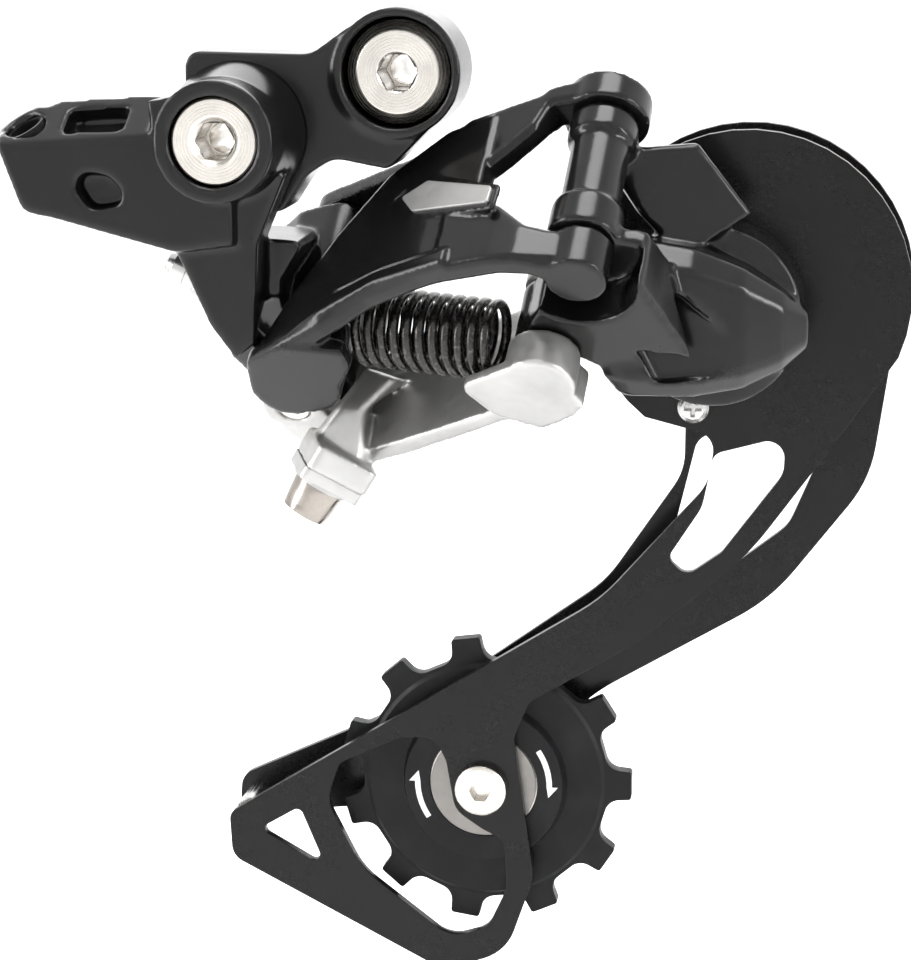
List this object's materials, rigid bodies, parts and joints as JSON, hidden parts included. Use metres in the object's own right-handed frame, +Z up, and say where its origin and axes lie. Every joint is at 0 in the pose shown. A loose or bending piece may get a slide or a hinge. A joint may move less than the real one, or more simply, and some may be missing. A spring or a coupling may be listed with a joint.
{
  "type": "rear bicycle derailleur",
  "caption": "Long-cage rear derailleur: sprung parallelogram between two black knuckles, forged hanger link, silver cable-clamp link, and a sprung cage with toothed pulleys.",
  "frame": {"origin": "on the hanger bolt's axis, in the inboard face of the hanger link that meets the frame's hanger", "axes": "+X forward along the bicycle, +Y inboard towards the wheel along the hanger bolt, +Z up, in the pose of the picture"},
  "size_m": [0.1318, 0.0605, 0.1509],
  "materials": {
    "black_gloss": "gloss anodised black",
    "black_satin": "satin black",
    "steel": "turned steel",
    "chrome_screw": "polished",
    "cast_silver": "satin cast",
    "black_steel": "blackened spring steel",
    "black_plastic": "moulded",
    "bush_metal": "bearing metal"
  },
  "bodies": {
    "hanger_link_body": {"hanger_link": "black_gloss", "hanger_bush": "bush_metal", "pivot_bolt": "steel", "pivot_bush": "bush_metal"},
    "hanger_bolt_body": {"hanger_bolt": "steel", "hanger_washer": "black_steel"},
    "upper_knuckle_body": {"upper_knuckle": "black_gloss", "cable_stop_liner": "black_plastic", "outer_pin_upper": "steel", "inner_pin_upper": "steel"},
    "tension_screw_body": {"tension_screw": "chrome_screw"},
    "high_limit_screw_body": {"high_limit_screw": "chrome_screw"},
    "low_limit_screw_body": {"low_limit_screw": "chrome_screw"},
    "outer_link_body": {"outer_link": "black_gloss", "emblem": "chrome_screw", "return_spring": "black_steel"},
    "inner_link_body": {"inner_link": "cast_silver", "cable_clamp_plate": "cast_silver"},
    "clamp_bolt_body": {"cable_clamp_bolt": "steel", "clamp_washer": "cast_silver"},
    "lower_knuckle_body": {"lower_knuckle": "black_gloss", "outer_pin_lower": "steel", "inner_pin_lower": "steel", "cage_spring": "black_steel", "cage_seal_ring": "black_plastic"},
    "cage_body": {"cage_axle": "steel", "cage_outer_plate": "black_satin", "cage_inner_plate": "black_satin", "cage_rivet": "chrome_screw", "cage_stop_screw": "chrome_screw", "guide_bolt": "steel", "tension_bolt": "steel", "guide_sleeve": "steel", "tension_sleeve": "steel", "guide_cap_outer": "black_steel", "guide_cap_inner": "black_steel", "tension_cap_outer": "black_steel", "tension_cap_inner": "black_steel"},
    "guide_pulley_body": {"guide_pulley": "black_plastic", "guide_bearing_race": "steel"},
    "tension_pulley_body": {"tension_pulley": "black_plastic", "tension_bearing_race": "steel"}
  },
  "joints": [
    {"name": "hanger_bolt_turn", "type": "hinge", "parent": "hanger_link_body", "child": "hanger_bolt_body", "pos_m": [0, 0, 0], "axis": [0, 1, 0], "continuous": true},
    {"name": "knuckle_swing", "type": "hinge", "parent": "hanger_link_body", "child": "upper_knuckle_body", "pos_m": [-0.0233, -0.018, -0.0088], "axis": [0, 1, 0], "range_deg": [0, 40]},
    {"name": "tension_screw_turn", "type": "hinge", "parent": "upper_knuckle_body", "child": "tension_screw_body", "pos_m": [-0.024, -0.0076, -0.0199], "axis": [-1, 0, 0], "continuous": true},
    {"name": "high_limit_turn", "type": "hinge", "parent": "upper_knuckle_body", "child": "high_limit_screw_body", "pos_m": [-0.0226, -0.0094, -0.0336], "axis": [-0.9007, -0.06, 0.4303], "continuous": true},
    {"name": "low_limit_turn", "type": "hinge", "parent": "upper_knuckle_body", "child": "low_limit_screw_body", "pos_m": [-0.0207, -0.0022, -0.0378], "axis": [-0.9007, -0.06, 0.4303], "continuous": true},
    {"name": "link_swing", "type": "hinge", "parent": "upper_knuckle_body", "child": "outer_link_body", "pos_m": [-0.0121, -0.0015, -0.03225], "axis": [0.0599, 0.7399, 0.67], "range_deg": [0, 60], "stiffness_Nm_per_rad": 1, "springref_deg": -45.84, "deforming": ["return_spring"]},
    {"name": "inner_link_swing", "type": "hinge", "parent": "upper_knuckle_body", "child": "inner_link_body", "pos_m": [-0.01733, 0.00884, -0.0432], "axis": [0.0599, 0.7399, 0.67], "range_deg": [0, 60]},
    {"name": "clamp_bolt_turn", "type": "hinge", "parent": "inner_link_body", "child": "clamp_bolt_body", "pos_m": [-0.0123, -0.0054, -0.0606], "axis": [-0.5044, -0.1009, -0.8575], "continuous": true},
    {"name": "lower_knuckle_turn", "type": "hinge", "parent": "outer_link_body", "child": "lower_knuckle_body", "pos_m": [0.02867, -0.01892, -0.01666], "axis": [0.0599, 0.7399, 0.67], "range_deg": [-60, 0]},
    {"name": "cage_swing", "type": "hinge", "parent": "lower_knuckle_body", "child": "cage_body", "pos_m": [0.045, 0, -0.0345], "axis": [0, 1, 0], "range_deg": [-100, 0], "stiffness_Nm_per_rad": 0.6, "springref_deg": 57.3},
    {"name": "guide_pulley_spin", "type": "hinge", "parent": "cage_body", "child": "guide_pulley_body", "pos_m": [0.0494, 0.00985, -0.0329], "axis": [0, 1, 0], "continuous": true},
    {"name": "tension_pulley_spin", "type": "hinge", "parent": "cage_body", "child": "tension_pulley_body", "pos_m": [0.01, 0.00985, -0.1115], "axis": [0, 1, 0], "continuous": true}
  ],
  "couplings": [
    {"joint": "inner_link_swing", "follows": "link_swing", "ratio": 1},
    {"joint": "lower_knuckle_turn", "follows": "link_swing", "ratio": -1}
  ]
}
